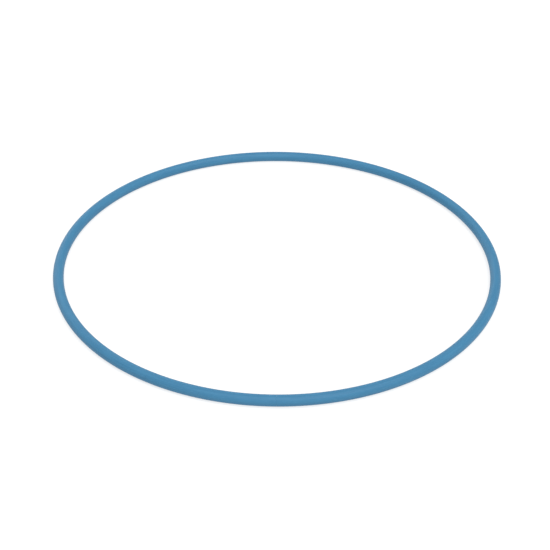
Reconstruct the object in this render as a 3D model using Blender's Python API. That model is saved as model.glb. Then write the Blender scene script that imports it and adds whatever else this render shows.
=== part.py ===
"""Rhythmic gymnastics hoop: a plastic tube bent to a circle and closed by an inner plug and four pins.

Metres, +Z up. The hoop lies flat with its tube on z = 0 and its centre over the origin. The joint that
closes the ring is at the -Y side, and the pins stand on the side of the tube that faces the centre.
"""

import math

import bmesh
import bpy
from mathutils import Matrix, Vector

# Ring and tube
INNER_DIAMETER = 0.800
TUBE_DIAMETER = 0.020
TUBE_WALL = 0.0022
RING_STEPS = 120
SECTION_SIDES = 16

# Joint that closes the ring
JOINT_ANGLE = math.radians(-90)
BUTT_GAP = 0.0002
CLEARANCE = 0.0003

# Plug inside the tube
PLUG_LENGTH = 0.100
PLUG_DIAMETER = 0.0147
PLUG_CORE_DIAMETER = 0.0075
PLUG_CORE_STEPS = 14
PLUG_NOSE = 0.0020
RIB_PITCH = math.radians(1.0)
RIBS_EACH_SIDE = 6
RIB_WIDTH = 0.0024
RIB_HEIGHT = 0.0005

# Pins: the head is sunk in the tube's inner wall, and the barbs are in the plug
PIN_STEPS_FROM_JOINT = (-1.5, -0.5, 0.5, 1.5)
PIN_LENGTH = 0.0054
PIN_SINK = 0.0003
PIN_SIDES = 16
HEAD_DIAMETER = 0.0030
HEAD_EDGE = 0.0002
SHANK_DIAMETER = 0.0016
BARB_DIAMETER = 0.0019
BARBS = 3
BARB_PITCH = 0.0008
BARB_RISE = 0.0002
BARB_FALL = 0.0005
POINT_LENGTH = 0.0006
POINT_DIAMETER = 0.0008
SEAT_OVERRUN = 0.0012

# Worked out from those
TUBE_RADIUS = TUBE_DIAMETER / 2
BORE_RADIUS = TUBE_RADIUS - TUBE_WALL
RING_RADIUS = INNER_DIAMETER / 2 + TUBE_RADIUS
RING_STEP = math.tau / RING_STEPS
INNER_FLAT_RADIUS = INNER_DIAMETER / 2 * math.cos(RING_STEP / 2)
PIN_ANGLES = [JOINT_ANGLE + RING_STEP * steps for steps in PIN_STEPS_FROM_JOINT]

# Colour, roughness and metallic value of each material
HOOP_PLASTIC = ((0.080, 0.250, 0.413, 1.0), 0.45, 0.0)
PLUG_PLASTIC = ((0.640, 0.620, 0.540, 1.0), 0.55, 0.0)
PIN_STEEL = ((0.620, 0.620, 0.600, 1.0), 0.30, 1.0)
SHARP_ANGLE = math.radians(35)


def clear_scene():
    for thing in list(bpy.data.objects):
        bpy.data.objects.remove(thing)


def plain_material(name, look):
    colour, roughness, metallic = look
    material = bpy.data.materials.new(name)
    material.use_nodes = True
    shader = material.node_tree.nodes["Principled BSDF"]
    shader.inputs["Base Color"].default_value = colour
    shader.inputs["Roughness"].default_value = roughness
    shader.inputs["Metallic"].default_value = metallic
    return material


def add_object(name, bm, material=None):
    """A new object from bm, shaded smooth except along its real edges."""
    bmesh.ops.recalc_face_normals(bm, faces=bm.faces)
    mesh = bpy.data.meshes.new(name)
    bm.to_mesh(mesh)
    bm.free()
    mesh.shade_smooth()
    mesh.set_sharp_from_angle(angle=SHARP_ANGLE)
    if material:
        mesh.materials.append(material)
    thing = bpy.data.objects.new(name, mesh)
    bpy.context.scene.collection.objects.link(thing)
    return thing


def outward(angle):
    """The direction out from the ring's centre at that angle."""
    return Vector((math.cos(angle), math.sin(angle), 0.0))


def section(bm, angle, radius):
    """The tube's section at an angle of the ring: a polygon, radius to its flats, one flat straight down."""
    corner_radius = radius / math.cos(math.pi / SECTION_SIDES)
    out = outward(angle)
    up = Vector((0.0, 0.0, 1.0))
    centre = out * RING_RADIUS + up * TUBE_RADIUS
    corners = []
    for side in range(SECTION_SIDES):
        turn = math.tau * (side + 0.5) / SECTION_SIDES
        offset = out * math.cos(turn) + up * math.sin(turn)
        corners.append(bm.verts.new(centre + offset * corner_radius))
    return corners


def band(bm, first, second):
    """Quads between two closed rows of corners."""
    for i in range(SECTION_SIDES):
        j = (i + 1) % SECTION_SIDES
        bm.faces.new((first[i], first[j], second[j], second[i]))


def bent_wall(bm, stations):
    """A wall through (angle, radius) stations along the ring. Its first and last rows are returned."""
    rows = [section(bm, angle, radius) for angle, radius in stations]
    for first, second in zip(rows, rows[1:]):
        band(bm, first, second)
    return rows[0], rows[-1]


def bent_pipe(name, outer_stations, inner_stations, material):
    """A pipe that follows the ring: an outer wall, an inner wall and a flat annulus at each end."""
    bm = bmesh.new()
    outer_ends = bent_wall(bm, outer_stations)
    inner_ends = bent_wall(bm, inner_stations)
    for outer, inner in zip(outer_ends, inner_ends):
        band(bm, outer, inner)
    return add_object(name, bm, material)


def even_stations(start, end, steps, radius):
    return [(start + (end - start) * i / steps, radius) for i in range(steps + 1)]


def make_hoop_tube(material):
    """The tube: one hollow length round the whole circle, with its two cut ends at the butt joint."""
    half_gap = BUTT_GAP / 2 / RING_RADIUS
    start = JOINT_ANGLE + half_gap
    end = JOINT_ANGLE + math.tau - half_gap
    outside = even_stations(start, end, RING_STEPS, TUBE_RADIUS)
    bore = even_stations(start, end, RING_STEPS, BORE_RADIUS)
    return bent_pipe("hoop_tube", outside, bore, material)


def plug_outside():
    """The plug's (angle, radius) stations: a tapered nose, a row of ribs and the other nose."""
    crest = PLUG_DIAMETER / 2
    root = crest - RIB_HEIGHT
    tip = root - RIB_HEIGHT
    end = PLUG_LENGTH / 2 / RING_RADIUS
    nose = PLUG_NOSE / RING_RADIUS
    half_rib = RIB_WIDTH / 2 / RING_RADIUS
    flank = RIB_HEIGHT / RING_RADIUS
    stations = [(-end, tip), (nose - end, root)]
    for rib in range(-RIBS_EACH_SIDE, RIBS_EACH_SIDE + 1):
        middle = rib * RIB_PITCH
        stations.append((middle - half_rib - flank, root))
        stations.append((middle - half_rib, crest))
        stations.append((middle + half_rib, crest))
        stations.append((middle + half_rib + flank, root))
    stations += [(end - nose, root), (end, tip)]
    return [(JOINT_ANGLE + angle, radius) for angle, radius in stations]


def make_joiner_plug(material):
    """The plug: a ribbed hollow spigot with the ring's own bend, half of it in each end of the tube."""
    outside = plug_outside()
    start, end = outside[0][0], outside[-1][0]
    core = even_stations(start, end, PLUG_CORE_STEPS, PLUG_CORE_DIAMETER / 2)
    return bent_pipe("joiner_plug", outside, core, material)


def turned(name, profile, material=None):
    """A solid turned about local Z from (radius, height) points that start and end on the axis."""
    bm = bmesh.new()
    points = [bm.verts.new((radius, 0.0, height)) for radius, height in profile]
    edges = [bm.edges.new(pair) for pair in zip(points, points[1:])]
    bmesh.ops.spin(
        bm,
        geom=points + edges,
        cent=(0.0, 0.0, 0.0),
        axis=(0.0, 0.0, 1.0),
        angle=math.tau,
        steps=PIN_SIDES,
    )
    bmesh.ops.remove_doubles(bm, verts=bm.verts, dist=1e-6)
    return add_object(name, bm, material)


def stand_in_wall(thing, angle):
    """Turns local Z away from the ring's centre, with the origin just below the tube's inner flat."""
    out = outward(angle)
    along = outward(angle + math.pi / 2)
    turn = Matrix((along, out.cross(along), out)).transposed().to_4x4()
    place = out * (INNER_FLAT_RADIUS + PIN_SINK) + Vector((0.0, 0.0, TUBE_RADIUS))
    thing.matrix_world = Matrix.Translation(place) @ turn


def pin_profile():
    """From the flat top of the head, at height 0, down the cone, the shank and the barbs to the tip."""
    head = HEAD_DIAMETER / 2
    shank = SHANK_DIAMETER / 2
    barb = BARB_DIAMETER / 2
    point_start = PIN_LENGTH - POINT_LENGTH
    profile = [(0.0, 0.0), (head, 0.0), (head, HEAD_EDGE), (shank, HEAD_EDGE + head - shank)]
    for i in range(BARBS):
        base = point_start - BARB_PITCH * (BARBS - i)
        profile.append((shank, base))
        profile.append((barb, base + BARB_RISE))
        profile.append((shank, base + BARB_RISE + BARB_FALL))
    profile += [(shank, point_start), (POINT_DIAMETER / 2, PIN_LENGTH), (0.0, PIN_LENGTH)]
    return profile


def seat_profile():
    """The room that a pin needs: its outline and the clearance, running past both of its ends."""
    head = HEAD_DIAMETER / 2 + CLEARANCE
    shank = BARB_DIAMETER / 2 + CLEARANCE
    cone_start = HEAD_EDGE + CLEARANCE
    cone_end = cone_start + head - shank
    end = PIN_LENGTH + SEAT_OVERRUN
    return [
        (0.0, -SEAT_OVERRUN),
        (head, -SEAT_OVERRUN),
        (head, cone_start),
        (shank, cone_end),
        (shank, end),
        (0.0, end),
    ]


def make_pins(material):
    for number, angle in enumerate(PIN_ANGLES, start=1):
        pin = turned(f"joint_pin_{number}", pin_profile(), material)
        stand_in_wall(pin, angle)


def cut_pin_seats(things):
    """Cuts each pin's seat through the tube's inner wall and into the plug."""
    for number, angle in enumerate(PIN_ANGLES, start=1):
        cutter = turned(f"pin_seat_{number}", seat_profile())
        stand_in_wall(cutter, angle)
        cutter.hide_render = True
        cutter.display_type = "WIRE"
        for thing in things:
            modifier = thing.modifiers.new(cutter.name, "BOOLEAN")
            modifier.operation = "DIFFERENCE"
            modifier.solver = "EXACT"
            modifier.object = cutter


def main():
    clear_scene()
    tube = make_hoop_tube(plain_material("hoop_plastic", HOOP_PLASTIC))
    plug = make_joiner_plug(plain_material("plug_plastic", PLUG_PLASTIC))
    make_pins(plain_material("pin_steel", PIN_STEEL))
    cut_pin_seats([tube, plug])


main()
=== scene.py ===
"""Looks of a rhythmic gymnastics hoop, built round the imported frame.

The ring lies in the XY plane with its tube on z = 0. Its places come from the frame: the tube, the plug and
the pins are each made again in fine detail where their CAD nodes stand, and they take those nodes' place.
"""

import math

import bpy
import numpy as np
from mathutils import Matrix, Quaternion, Vector


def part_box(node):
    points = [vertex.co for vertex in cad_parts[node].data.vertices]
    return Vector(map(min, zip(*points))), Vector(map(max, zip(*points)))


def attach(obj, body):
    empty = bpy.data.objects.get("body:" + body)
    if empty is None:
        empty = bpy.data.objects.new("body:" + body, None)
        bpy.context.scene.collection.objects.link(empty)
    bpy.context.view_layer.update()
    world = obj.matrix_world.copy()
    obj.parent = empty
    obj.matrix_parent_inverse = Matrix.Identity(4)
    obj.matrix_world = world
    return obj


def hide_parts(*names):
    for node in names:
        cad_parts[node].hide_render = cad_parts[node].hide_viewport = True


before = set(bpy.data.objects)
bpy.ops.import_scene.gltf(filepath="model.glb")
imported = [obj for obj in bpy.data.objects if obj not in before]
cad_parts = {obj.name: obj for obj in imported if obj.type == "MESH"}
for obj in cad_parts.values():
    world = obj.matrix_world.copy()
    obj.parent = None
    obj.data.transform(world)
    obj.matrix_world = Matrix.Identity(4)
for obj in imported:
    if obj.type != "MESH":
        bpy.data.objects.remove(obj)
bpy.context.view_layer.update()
tube_low, tube_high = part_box("hoop_tube")

# Tube: its two radii come from the frame's box
TUBE_RADIUS = (tube_high.z - tube_low.z) / 2
RING_RADIUS = (tube_high.x - tube_low.x) / 2 - TUBE_RADIUS
TUBE_WALL = 0.0022
BUTT_GAP = 0.00004
BUTT_EDGE = 0.00012
OVALITY = 0.010
DIE_LINE_DEPTH = 0.000012
DIE_LINE_SEED = 7
TUBE_COLUMNS = 72
TUBE_ROWS = 720
BORE_ROWS = 240
EDGE_ROWS = 4

# Joint: the plug and the seats of the pins
plug_low, plug_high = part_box("joiner_plug")
JOINT_ANGLE = math.atan2(plug_low.y + plug_high.y, plug_low.x + plug_high.x)
PLUG_CORE_RADIUS = 0.00375
PLUG_RIB_PITCH = math.radians(1.0)
PLUG_RIBS_EACH_SIDE = 6
PLUG_RIB_WIDTH = 0.0024
PLUG_RIB_HEIGHT = 0.0005
PLUG_NOSE = 0.0020
PLUG_PARTING_LINE = 0.00005
PLUG_COLUMNS = 64
SEAT_CLEARANCE = 0.00008
SEAT_OVERRUN = 0.0015

# Pins
PIN_SIDES = 64
head_low, head_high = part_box("joint_pin_1")
HEAD_RADIUS = (head_high.z - head_low.z) / 2
HEAD_EDGE = 0.00025
HEAD_DOME = 0.00008
SHANK_RADIUS = 0.0008
BARB_RADIUS = 0.00095
BARBS = 3
BARB_PITCH = 0.0008
BARB_SHARES = (0.25, 0.3, 0.9)
POINT_LENGTH = 0.0006

# Every piece
FILLET_STEPS = 6
SHARP_ANGLE = math.radians(40)

# Looks: linear colours and roughnesses as (one end, other end), and depths of relief in metres
BLUE = ((0.042, 0.165, 0.298, 1.0), (0.054, 0.200, 0.346, 1.0))
BLUE_STREAK = (0.067, 0.218, 0.367, 1.0)
BLUE_ROUGHNESS = (0.42, 0.52)
BLUE_SPECULAR = 0.16
STREAK_TINT = 0.35
STREAK_DEPTH = 0.00004
GRAIN_DEPTH = 0.00001
SCUFF = (0.145, 0.305, 0.444, 1.0)
SCUFF_TINT = 0.25
SCUFF_ROUGHNESS = 0.14
IVORY = ((0.60, 0.575, 0.490, 1.0), (0.68, 0.66, 0.585, 1.0))
IVORY_ROUGHNESS = (0.48, 0.64)
IVORY_SKIN_DEPTH = 0.00002
STEEL = ((0.66, 0.66, 0.645, 1.0), (0.54, 0.545, 0.55, 1.0))
STEEL_ROUGHNESS = (0.22, 0.38)
STEEL_MARK_STRETCH = (3.0, 14.0, 0.0)
STEEL_MARK_DEPTH = 0.000008
WHITE = (1.0, 1.0, 1.0, 1.0)

# Camera
CAMERA_ELEVATION = math.radians(33.58)
CAMERA_DISTANCE = 2.51
CAMERA_LENS = 86.8
CAMERA_SENSOR = 36.0
CAMERA_ROLL = math.radians(0.3)
CAMERA_AIM = Vector((-0.0036, -0.0440, TUBE_RADIUS))

# Floor and light
FLOOR_SIZE = 120.0
FLOOR_GREY = 0.30
FLOOR_GLOW = 0.71
WORLD_STRENGTH = 0.54
BACKDROP_STRENGTH = 1.03
LAMP_ANGLE = math.radians(60)
KEY_AZIMUTH = math.radians(300)
KEY_ELEVATION = math.radians(65)
KEY_ENERGY = 2.55
FILL_AZIMUTH = math.radians(120)
FILL_ELEVATION = math.radians(15)
FILL_ENERGY = 0.80


def outward(angle):
    """The direction out from the ring's centre at that angle."""
    return Vector((math.cos(angle), math.sin(angle), 0.0))


def corners_of(node):
    """A CAD node's corner points, each of them once."""
    points = [vertex.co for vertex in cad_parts[node].data.vertices]
    return np.unique(np.round(np.array(points, float), 7), axis=0)


# Meshes


def shade(mesh):
    """Smooth shading except along the real edges."""
    mesh.shade_smooth()
    mesh.set_sharp_from_angle(angle=SHARP_ANGLE)


def mesh_object(name, points, faces):
    mesh = bpy.data.meshes.new(name)
    mesh.from_pydata(points, [], faces)
    mesh.validate()
    shade(mesh)
    thing = bpy.data.objects.new(name, mesh)
    bpy.context.scene.collection.objects.link(thing)
    return thing


def wrapped_quads(rows, columns):
    """Quads of a grid whose last row joins its first row and whose last column joins its first column."""
    row, column = np.meshgrid(np.arange(rows), np.arange(columns), indexing="ij")
    next_row = (row + 1) % rows
    next_column = (column + 1) % columns
    quads = np.stack(
        [
            row * columns + column,
            row * columns + next_column,
            next_row * columns + next_column,
            next_row * columns + column,
        ],
        axis=-1,
    )
    return quads.reshape(-1, 4).tolist()


def bent_rows(angles, across, up):
    """Points of rows of a section that follows the ring. across and up are measured from the centreline."""
    radial = RING_RADIUS + across
    x = radial * np.cos(angles)[:, None]
    y = radial * np.sin(angles)[:, None]
    z = TUBE_RADIUS + up + 0 * x
    return np.stack([x, y, z], axis=-1).reshape(-1, 3)


def bent_pipe(name, outside, bore):
    """A closed pipe along the ring. outside and bore are (angles, across, up), one row to an angle."""
    there = bent_rows(*outside)
    back = bent_rows(*[part[::-1] for part in bore])
    columns = outside[1].shape[1]
    rows = len(outside[0]) + len(bore[0])
    return mesh_object(name, np.vstack([there, back]).tolist(), wrapped_quads(rows, columns))


def section_angles(columns):
    """Angles of a section's columns, from the side that faces out."""
    return math.tau * np.arange(columns) / columns


def tube_stations():
    """(angles, inset) of the tube's outside rows, with the edges of both cut ends rounded over."""
    turn = np.linspace(0, math.pi / 2, EDGE_ROWS + 1)
    edge_arc = BUTT_EDGE * (1 - np.sin(turn[::-1])) / RING_RADIUS
    edge_inset = BUTT_EDGE * (1 - np.cos(turn[::-1]))
    start = JOINT_ANGLE + BUTT_GAP / 2 / RING_RADIUS
    end = JOINT_ANGLE + math.tau - BUTT_GAP / 2 / RING_RADIUS
    middle = np.linspace(start, end, TUBE_ROWS + 1)[1:-1]
    angles = np.concatenate([start + edge_arc, middle, (end - edge_arc)[::-1]])
    inset = np.concatenate([edge_inset, 0 * middle, edge_inset[::-1]])
    return angles, inset


def die_lines(columns):
    """How far each column of the tube lies under its true round, from marks that the die drew along it."""
    draw = np.random.default_rng(DIE_LINE_SEED)
    marks = draw.random(columns)
    smooth = (np.roll(marks, 1) + 2 * marks + np.roll(marks, -1)) / 4
    return DIE_LINE_DEPTH * (smooth - smooth.min()) / (smooth.max() - smooth.min())


def make_tube():
    """The tube: slightly oval from its bend, with die lines along it and two cut ends at the joint."""
    around = section_angles(TUBE_COLUMNS)
    angles, inset = tube_stations()
    # The die lines fade out at the top and the bottom, so that the tube keeps its full height
    marks = die_lines(TUBE_COLUMNS) * np.abs(np.cos(around))
    radius = TUBE_RADIUS - inset[:, None] - marks[None, :]
    outside = (angles, radius * np.cos(around) * (1 - OVALITY), radius * np.sin(around))
    bore_angles = np.linspace(angles[0], angles[-1], BORE_ROWS + 1)
    bore_radius = TUBE_RADIUS - TUBE_WALL + 0 * bore_angles[:, None]
    bore = (bore_angles, bore_radius * np.cos(around) * (1 - OVALITY), bore_radius * np.sin(around))
    return bent_pipe("hoop_tube_skin", outside, bore)


def make_plug(half_angle, crest):
    """The plug: rounded ribs, tapered noses, a hollow core and a fine parting line along both sides."""
    root = crest - PLUG_RIB_HEIGHT
    flank = PLUG_RIB_HEIGHT / RING_RADIUS
    half_rib = PLUG_RIB_WIDTH / 2 / RING_RADIUS
    nose = PLUG_NOSE / RING_RADIUS
    fillet = np.linspace(0, math.pi / 2, FILLET_STEPS)
    stations = [(-half_angle, root - PLUG_RIB_HEIGHT)]
    stations += [(nose * math.sin(t) - half_angle, root - PLUG_RIB_HEIGHT * math.cos(t)) for t in fillet[1:]]
    for rib in range(-PLUG_RIBS_EACH_SIDE, PLUG_RIBS_EACH_SIDE + 1):
        middle = rib * PLUG_RIB_PITCH
        rise = [(half_rib + flank * math.cos(t), root + PLUG_RIB_HEIGHT * math.sin(t)) for t in fillet]
        stations += [(middle - reach, radius) for reach, radius in rise]
        stations += [(middle + reach, radius) for reach, radius in reversed(rise)]
    stations += [(-angle, radius) for angle, radius in reversed(stations[:FILLET_STEPS])]
    angles = JOINT_ANGLE + np.array([angle for angle, _ in stations])
    around = section_angles(PLUG_COLUMNS)
    parting = np.zeros(PLUG_COLUMNS)
    parting[[0, PLUG_COLUMNS // 2]] = PLUG_PARTING_LINE
    radius = np.array([radius for _, radius in stations])[:, None] + parting[None, :]
    outside = (angles, radius * np.cos(around), radius * np.sin(around))
    core_radius = np.full((len(angles), 1), PLUG_CORE_RADIUS)
    core = (angles, core_radius * np.cos(around), core_radius * np.sin(around))
    return bent_pipe("joiner_plug_moulding", outside, core)


def turned(name, profile, sides, place):
    """A closed solid turned about its own Z from (radius, height) points, the first and last on the axis."""
    inner = profile[1:-1]
    points = [(0.0, 0.0, profile[0][1])]
    for radius, height in inner:
        for side in range(sides):
            turn = math.tau * side / sides
            points.append((radius * math.cos(turn), radius * math.sin(turn), height))
    points.append((0.0, 0.0, profile[-1][1]))
    last = len(points) - 1
    faces = []
    for side in range(sides):
        beside = (side + 1) % sides
        faces.append((0, 1 + beside, 1 + side))
        for row in range(len(inner) - 1):
            here = 1 + row * sides
            there = here + sides
            faces.append((here + side, here + beside, there + beside, there + side))
        end = 1 + (len(inner) - 1) * sides
        faces.append((last, end + side, end + beside))
    points = [place @ Vector(point) for point in points]
    thing = mesh_object(name, points, faces)
    add_turning_map(thing.data, profile, sides)
    return thing


def add_turning_map(mesh, profile, sides):
    """A map that runs round the piece in U and along its profile, in millimetres, in V."""
    steps = [math.dist(a, b) * 1000 for a, b in zip(profile, profile[1:])]
    along = np.concatenate([[0.0], np.cumsum(steps)])
    rows = np.concatenate([[0], np.repeat(np.arange(1, len(profile) - 1), sides), [len(profile) - 1]])
    turns = np.concatenate([[0.0], np.tile(np.arange(sides) / sides, len(profile) - 2), [0.0]])
    turning = mesh.uv_layers.new(name="turning")
    for loop in mesh.loops:
        turning.data[loop.index].uv = (turns[loop.vertex_index], along[rows[loop.vertex_index]])


def arc(centre, radius, start_degrees, end_degrees):
    """Points of a profile's round corner about centre, as (radius, height)."""
    turns = np.radians(np.linspace(start_degrees, end_degrees, FILLET_STEPS))
    return [(centre[0] + radius * math.cos(t), centre[1] + radius * math.sin(t)) for t in turns]


def pin_profile(length):
    """The pin from its domed head, at height 0, down the cone, the shank and the barbs to the point."""
    corner = HEAD_EDGE / 2
    rim = HEAD_RADIUS - corner
    dome = [(rim * i / FILLET_STEPS, HEAD_DOME * (i / FILLET_STEPS) ** 2) for i in range(FILLET_STEPS)]
    head = arc((rim, HEAD_DOME + corner), corner, -90, 45)
    cone_end = HEAD_DOME + HEAD_EDGE + HEAD_RADIUS - SHANK_RADIUS
    profile = dome + head + [(SHANK_RADIUS, cone_end)]
    point_start = length - POINT_LENGTH
    rise_end, crest_end, fall_end = [BARB_PITCH * share for share in BARB_SHARES]
    for i in range(BARBS):
        base = point_start - BARB_PITCH * (BARBS - i)
        profile.append((SHANK_RADIUS, base))
        profile.append((BARB_RADIUS, base + rise_end))
        profile.append((BARB_RADIUS, base + crest_end))
        profile.append((SHANK_RADIUS, base + fall_end))
    profile += [(SHANK_RADIUS, point_start), (SHANK_RADIUS / 2, length), (0.0, length)]
    return profile


def seat_profile(length):
    """The space cut for a pin: its outline and a close clearance, running past both of its ends."""
    head = HEAD_RADIUS + SEAT_CLEARANCE
    shank = BARB_RADIUS + SEAT_CLEARANCE
    cone_start = HEAD_DOME + HEAD_EDGE
    return [
        (0.0, -SEAT_OVERRUN),
        (head, -SEAT_OVERRUN),
        (head, cone_start),
        (shank, cone_start + head - shank),
        (shank, length + SEAT_OVERRUN),
        (0.0, length + SEAT_OVERRUN),
    ]


def pin_place(node):
    """Where a pin stands: local Z points out from the ring's centre, from the middle of the head's top."""
    corners = corners_of(node)
    middle = corners.mean(axis=0)
    angle = math.atan2(middle[1], middle[0])
    out = outward(angle)
    reach = corners @ np.array(out)
    along = outward(angle + math.pi / 2)
    turn = Matrix((along, out.cross(along), out)).transposed().to_4x4()
    base = out * float(reach.min()) + Vector((0.0, 0.0, TUBE_RADIUS))
    return Matrix.Translation(base) @ turn, float(reach.max() - reach.min())


def cut_seats(things, seats):
    """Cuts the pins' seats out of the tube and the plug, and keeps the cut meshes."""
    for thing in things:
        for seat in seats:
            modifier = thing.modifiers.new(seat.name, "BOOLEAN")
            modifier.operation = "DIFFERENCE"
            modifier.solver = "EXACT"
            modifier.object = seat
        bpy.context.view_layer.update()
        depsgraph = bpy.context.evaluated_depsgraph_get()
        mesh = bpy.data.meshes.new_from_object(thing.evaluated_get(depsgraph))
        shade(mesh)
        thing.modifiers.clear()
        thing.data = mesh
    for seat in seats:
        bpy.data.objects.remove(seat)


# Materials


class Graph:
    """A material's nodes, added and joined up by short calls."""

    def __init__(self, name):
        self.material = bpy.data.materials.new(name)
        self.material.use_nodes = True
        self.tree = self.material.node_tree
        self.shader = self.tree.nodes["Principled BSDF"]

    def add(self, kind, inputs=None, **settings):
        made = self.tree.nodes.new(kind)
        for key, value in settings.items():
            setattr(made, key, value)
        for key, value in (inputs or {}).items():
            self.feed(made.inputs[key], value)
        return made

    def feed(self, socket, value):
        if isinstance(value, bpy.types.NodeSocket):
            self.tree.links.new(value, socket)
        else:
            socket.default_value = value

    def math(self, operation, first, second=0.0):
        return self.add("ShaderNodeMath", {0: first, 1: second}, operation=operation).outputs[0]

    def vector(self, operation, first, second=(0.0, 0.0, 0.0), out="Vector"):
        return self.add("ShaderNodeVectorMath", {0: first, 1: second}, operation=operation).outputs[out]

    def noise(self, vector, w, scale, detail, roughness=0.5):
        """Noise from 0 to 1. w is its fourth coordinate, and layers with different w don't look alike."""
        inputs = {"Vector": vector, "W": w, "Scale": scale, "Detail": detail, "Roughness": roughness}
        return self.add("ShaderNodeTexNoise", inputs, noise_dimensions="4D").outputs["Fac"]

    def remap(self, value, low, high, to_low=0.0, to_high=1.0):
        inputs = {"Value": value, "From Min": low, "From Max": high, "To Min": to_low, "To Max": to_high}
        return self.add("ShaderNodeMapRange", inputs).outputs[0]

    def mix(self, share, first, second):
        made = self.add("ShaderNodeMix", data_type="RGBA")
        self.feed(made.inputs["Factor"], share)
        sockets = {socket.identifier: socket for socket in (*made.inputs, *made.outputs)}
        self.feed(sockets["A_Color"], first)
        self.feed(sockets["B_Color"], second)
        return sockets["Result_Color"]

    def bump(self, height, distance, normal=None):
        inputs = {"Height": height, "Distance": distance}
        if normal is not None:
            inputs["Normal"] = normal
        return self.add("ShaderNodeBump", inputs).outputs[0]

    def finish(self, **values):
        for key, value in values.items():
            self.feed(self.shader.inputs[key.replace("_", " ")], value)
        return self.material


def ring_coordinates(graph):
    """Directions from the ring's centre and from the tube's centreline, and the place in the object."""
    place = graph.add("ShaderNodeTexCoord").outputs["Object"]
    flat = graph.vector("MULTIPLY", place, (1.0, 1.0, 0.0))
    along = graph.vector("NORMALIZE", flat)
    reach = graph.math("SUBTRACT", graph.vector("LENGTH", flat, out="Value"), RING_RADIUS)
    height = graph.add("ShaderNodeSeparateXYZ", {0: place}).outputs["Z"]
    rise = graph.math("SUBTRACT", height, TUBE_RADIUS)
    section = graph.add("ShaderNodeCombineXYZ", {"X": reach, "Y": rise}).outputs[0]
    across = graph.vector("NORMALIZE", section)
    return along, across, place


def tube_noise(graph, along, across, along_scale, across_scale, detail):
    """Noise wrapped round the tube, without a seam: the two scales are features to a radian of each way."""
    part = graph.add("ShaderNodeSeparateXYZ", {0: across})
    long_way = graph.vector("MULTIPLY", along, (along_scale, along_scale, 0.0))
    side = graph.math("MULTIPLY", part.outputs["X"], across_scale)
    lift = graph.add("ShaderNodeCombineXYZ", {"Z": side}).outputs[0]
    w = graph.math("MULTIPLY", part.outputs["Y"], across_scale)
    return graph.noise(graph.vector("ADD", long_way, lift), w, scale=1.0, detail=detail)


def satin_blue():
    """The tube's plastic: blue through and through, with flow streaks, an even grain and light scuffs."""
    graph = Graph("satin_blue_plastic")
    along, across, place = ring_coordinates(graph)
    clouds = tube_noise(graph, along, across, along_scale=9.0, across_scale=1.4, detail=3.0)
    bands = tube_noise(graph, along, across, along_scale=2.5, across_scale=4.5, detail=2.0)
    streaks = tube_noise(graph, along, across, along_scale=5.0, across_scale=26.0, detail=4.0)
    scuffs = tube_noise(graph, along, across, along_scale=46.0, across_scale=7.0, detail=5.0)
    grain = graph.noise(place, w=0.0, scale=1400.0, detail=2.0)
    body = graph.mix(graph.remap(graph.math("ADD", clouds, bands), 0.7, 1.3), *BLUE)
    drawn = graph.mix(graph.remap(streaks, 0.35, 0.75, 0.0, STREAK_TINT), body, BLUE_STREAK)
    outward_share = graph.add("ShaderNodeSeparateXYZ", {0: across}).outputs["X"]
    outer_side = graph.remap(outward_share, 0.55, 1.0)
    worn = graph.math("MULTIPLY", graph.remap(scuffs, 0.60, 0.72), outer_side)
    drawn_roughness = graph.remap(streaks, 0.3, 0.7, *BLUE_ROUGHNESS)
    worn_roughness = graph.math("MULTIPLY", worn, SCUFF_ROUGHNESS)
    return graph.finish(
        Base_Color=graph.mix(graph.math("MULTIPLY", worn, SCUFF_TINT), drawn, SCUFF),
        Roughness=graph.math("ADD", drawn_roughness, worn_roughness),
        Normal=graph.bump(streaks, STREAK_DEPTH, normal=graph.bump(grain, GRAIN_DEPTH)),
        Specular_IOR_Level=BLUE_SPECULAR,
    )


def moulded_ivory():
    """The plug's plastic: undyed, slightly milky, with the fine matte skin of its mould."""
    graph = Graph("moulded_ivory_plastic")
    place = graph.add("ShaderNodeTexCoord").outputs["Object"]
    flow = graph.noise(place, w=0.0, scale=90.0, detail=3.0)
    skin = graph.noise(place, w=2.0, scale=2600.0, detail=3.0, roughness=0.6)
    return graph.finish(
        Base_Color=graph.mix(graph.remap(flow, 0.3, 0.7), *IVORY),
        Roughness=graph.remap(skin, 0.3, 0.7, *IVORY_ROUGHNESS),
        Normal=graph.bump(skin, IVORY_SKIN_DEPTH),
        Subsurface_Weight=0.1,
        Subsurface_Scale=0.002,
    )


def plated_steel():
    """The pins' steel: bright plating over turning marks that run round each pin."""
    graph = Graph("plated_steel")
    turning = graph.add("ShaderNodeUVMap", uv_map="turning").outputs[0]
    stretched = graph.vector("MULTIPLY", turning, STEEL_MARK_STRETCH)
    marks = graph.noise(stretched, w=0.0, scale=1.0, detail=4.0, roughness=0.6)
    place = graph.add("ShaderNodeTexCoord").outputs["Object"]
    bloom = graph.noise(place, w=5.0, scale=700.0, detail=3.0)
    return graph.finish(
        Base_Color=graph.mix(graph.remap(bloom, 0.35, 0.7), *STEEL),
        Metallic=1.0,
        Roughness=graph.remap(marks, 0.3, 0.7, *STEEL_ROUGHNESS),
        Normal=graph.bump(marks, STEEL_MARK_DEPTH),
    )


def floor_paint():
    """The studio floor: a lit white table that keeps the shadows faint."""
    return Graph("studio_floor").finish(
        Base_Color=(FLOOR_GREY, FLOOR_GREY, FLOOR_GREY, 1.0),
        Roughness=0.8,
        Specular_IOR_Level=0.0,
        Emission_Color=WHITE,
        Emission_Strength=FLOOR_GLOW,
    )


# Pieces


def show(piece, node, material):
    """Puts a finished piece in place of its CAD node."""
    piece.data.materials.clear()
    piece.data.materials.append(material)
    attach(piece, "root")
    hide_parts(node)


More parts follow.
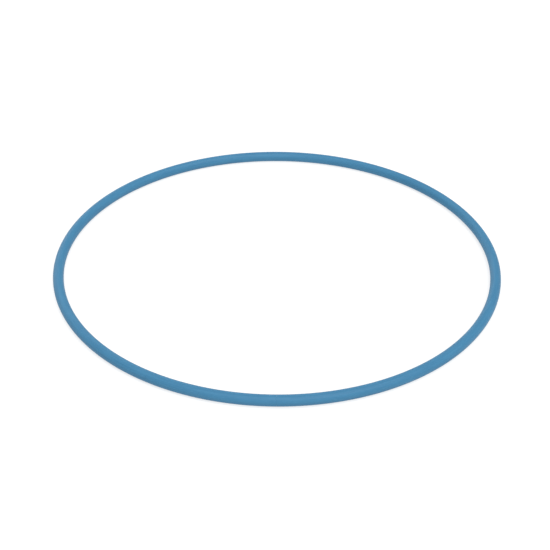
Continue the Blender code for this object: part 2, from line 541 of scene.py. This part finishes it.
def make_hoop():
    """The six pieces. The pins' places and lengths, and the plug's size, are measured on the CAD nodes."""
    blue = satin_blue()
    ivory = moulded_ivory()
    steel = plated_steel()
    pin_nodes = sorted(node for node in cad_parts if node.startswith("joint_pin_"))
    seats = []
    for node in pin_nodes:
        place, length = pin_place(node)
        pin = turned(f"{node}_turned", pin_profile(length), PIN_SIDES, place)
        show(pin, node, steel)
        seats.append(turned(f"{node}_seat", seat_profile(length), PIN_SIDES, place))
    plug_corners = corners_of("joiner_plug")
    plug_crest = (plug_corners[:, 2].max() - plug_corners[:, 2].min()) / 2
    plug_turns = np.arctan2(plug_corners[:, 1], plug_corners[:, 0]) - JOINT_ANGLE
    tube = make_tube()
    plug = make_plug(float(np.abs(plug_turns).max()), float(plug_crest))
    cut_seats([tube, plug], seats)
    show(tube, "hoop_tube", blue)
    show(plug, "joiner_plug", ivory)


def make_floor():
    half = FLOOR_SIZE / 2
    points = [(-half, -half, 0.0), (half, -half, 0.0), (half, half, 0.0), (-half, half, 0.0)]
    floor = mesh_object("floor", points, [(0, 1, 2, 3)])
    floor.data.materials.append(floor_paint())


def direction(azimuth, elevation):
    return outward(azimuth) * math.cos(elevation) + Vector((0.0, 0.0, math.sin(elevation)))


def make_world():
    """Even light from all round, in front of a white backdrop that only the camera sees."""
    world = bpy.data.worlds.new("studio")
    world.use_nodes = True
    tree = world.node_tree
    background = tree.nodes["Background"]
    background.inputs["Color"].default_value = WHITE
    path = tree.nodes.new("ShaderNodeLightPath")
    strength = tree.nodes.new("ShaderNodeMapRange")
    strength.inputs["To Min"].default_value = WORLD_STRENGTH
    strength.inputs["To Max"].default_value = BACKDROP_STRENGTH
    tree.links.new(path.outputs["Is Camera Ray"], strength.inputs["Value"])
    tree.links.new(strength.outputs["Result"], background.inputs["Strength"])
    bpy.context.scene.world = world


def make_lamp(name, azimuth, elevation, energy):
    """A broad, soft light that shines from one side and from above."""
    data = bpy.data.lights.new(name, "SUN")
    data.energy = energy
    data.angle = LAMP_ANGLE
    lamp = bpy.data.objects.new(name, data)
    lamp.rotation_mode = "QUATERNION"
    lamp.rotation_quaternion = direction(azimuth, elevation).to_track_quat("Z", "Y")
    bpy.context.scene.collection.objects.link(lamp)


def make_camera():
    """The camera in front of the joint's side, looking down at the ring, with plain colour management."""
    data = bpy.data.cameras.new("camera")
    data.lens = CAMERA_LENS
    data.sensor_width = CAMERA_SENSOR
    camera = bpy.data.objects.new("camera", data)
    back = Vector((0.0, -math.cos(CAMERA_ELEVATION), math.sin(CAMERA_ELEVATION)))
    camera.location = Vector((0.0, 0.0, TUBE_RADIUS)) + back * CAMERA_DISTANCE
    camera.rotation_mode = "QUATERNION"
    aim = (CAMERA_AIM - camera.location).to_track_quat("-Z", "Y")
    camera.rotation_quaternion = aim @ Quaternion((0.0, 0.0, 1.0), CAMERA_ROLL)
    bpy.context.scene.collection.objects.link(camera)
    bpy.context.scene.camera = camera
    bpy.context.scene.view_settings.view_transform = "Standard"


make_hoop()
make_floor()
make_world()
make_lamp("key", KEY_AZIMUTH, KEY_ELEVATION, KEY_ENERGY)
make_lamp("fill", FILL_AZIMUTH, FILL_ELEVATION, FILL_ENERGY)
make_camera()
